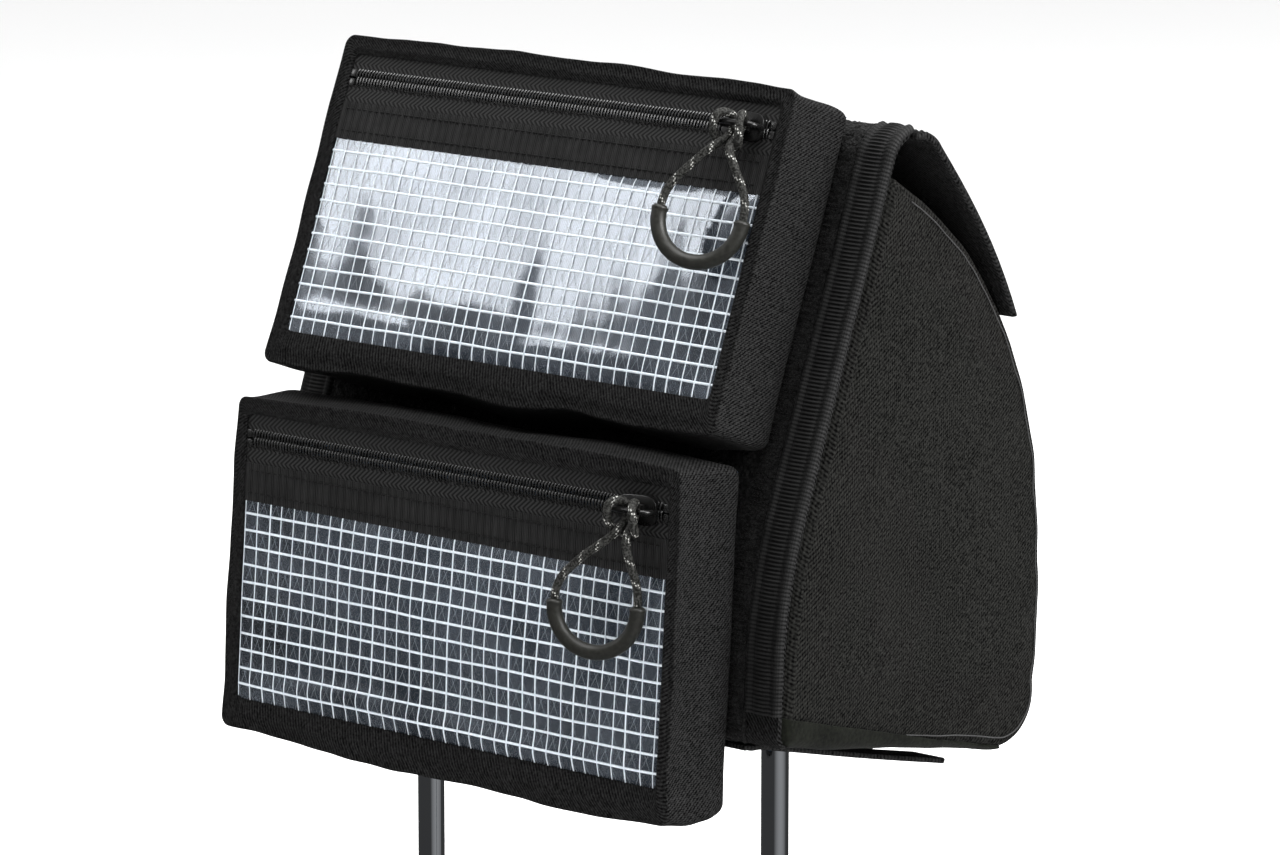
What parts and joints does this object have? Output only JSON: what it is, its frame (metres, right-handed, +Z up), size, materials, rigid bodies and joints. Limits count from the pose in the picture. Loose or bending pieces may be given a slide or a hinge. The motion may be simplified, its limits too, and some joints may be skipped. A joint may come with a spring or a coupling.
{
  "type": "headrest organiser",
  "caption": "Vehicle headrest on chrome posts, wrapped in a loop-faced panel that carries zipped box pouches with clear grid-reinforced windows.",
  "frame": {"origin": "midway between the two posts where they leave the headrest's underside, which is where the headrest sits on the seat", "axes": "+Z up along the posts, +X across the headrest, -Y towards the rear passengers, the side that carries the pouches"},
  "size_m": [0.261, 0.1898, 0.3833],
  "materials": {
    "chrome": "polished",
    "steel": "satin",
    "screw": "satin",
    "foam": "matt",
    "cover_fabric": "matt",
    "underside_felt": "matt",
    "pouch_fabric": "matt",
    "loop_pile": "matt",
    "webbing": "matt",
    "hook_tape": "matt",
    "window_film": "gloss",
    "zip_tape": "matt",
    "zip_coil": "gloss",
    "slider_metal": "gloss",
    "cord": "matt",
    "grip_rubber": "matt"
  },
  "bodies": {
    "headrest": {"post_rod": "chrome", "carrier_plate": "steel", "crossbar_saddle_left": "steel", "crossbar_saddle_right": "steel", "saddle_screws": "screw", "foam_core": "foam", "cover_wrap": "cover_fabric", "cover_side_left": "cover_fabric", "cover_side_right": "cover_fabric", "cover_underside": "underside_felt", "panel_backing": "pouch_fabric", "loop_field": "loop_pile", "binding_left": "webbing", "binding_right": "webbing", "front_flap": "pouch_fabric", "under_flap": "pouch_fabric", "under_hook_patch": "hook_tape"},
    "lower_pouch": {"lower_hook_patch": "hook_tape", "lower_back_panel": "pouch_fabric", "lower_gusset": "pouch_fabric", "lower_front_frame": "pouch_fabric", "lower_window": "window_film", "lower_window_band": "webbing", "lower_zip_tape_lower": "zip_tape", "lower_zip_tape_upper": "zip_tape", "lower_zip_coil_lower": "zip_coil", "lower_zip_coil_upper": "zip_coil", "lower_zip_stops": "zip_coil"},
    "lower_zip": {"lower_slider": "slider_metal"},
    "lower_pull": {"lower_pull_cord": "cord", "lower_pull_grip": "grip_rubber"},
    "upper_pouch": {"upper_hook_patch": "hook_tape", "upper_back_panel": "pouch_fabric", "upper_gusset": "pouch_fabric", "upper_front_frame": "pouch_fabric", "upper_window": "window_film", "upper_window_band": "webbing", "upper_zip_tape_lower": "zip_tape", "upper_zip_tape_upper": "zip_tape", "upper_zip_coil_lower": "zip_coil", "upper_zip_coil_upper": "zip_coil", "upper_zip_stops": "zip_coil"},
    "upper_zip": {"upper_slider": "slider_metal"},
    "upper_pull": {"upper_pull_cord": "cord", "upper_pull_grip": "grip_rubber"}
  },
  "joints": [
    {"name": "lower_pouch_peel", "type": "slide", "parent": "headrest", "child": "lower_pouch", "axis": [0, -0.9976, 0.0698], "range_m": [0, 0.06]},
    {"name": "lower_zip_slide", "type": "slide", "parent": "lower_pouch", "child": "lower_zip", "axis": [-1, 0, 0], "range_m": [0, 0.184]},
    {"name": "lower_pull_swing", "type": "hinge", "parent": "lower_zip", "child": "lower_pull", "pos_m": [0.0875, -0.07757, 0.09254], "axis": [-1, 0, 0], "range_deg": [0, 155]},
    {"name": "upper_pouch_peel", "type": "slide", "parent": "headrest", "child": "upper_pouch", "axis": [0, -0.9367, 0.3502], "range_m": [0, 0.06]},
    {"name": "upper_zip_slide", "type": "slide", "parent": "upper_pouch", "child": "upper_zip", "axis": [-1, 0, 0], "range_m": [0, 0.184]},
    {"name": "upper_pull_swing", "type": "hinge", "parent": "upper_zip", "child": "upper_pull", "pos_m": [0.087, -0.02286, 0.22224], "axis": [-1, 0, 0], "range_deg": [0, 155]}
  ]
}
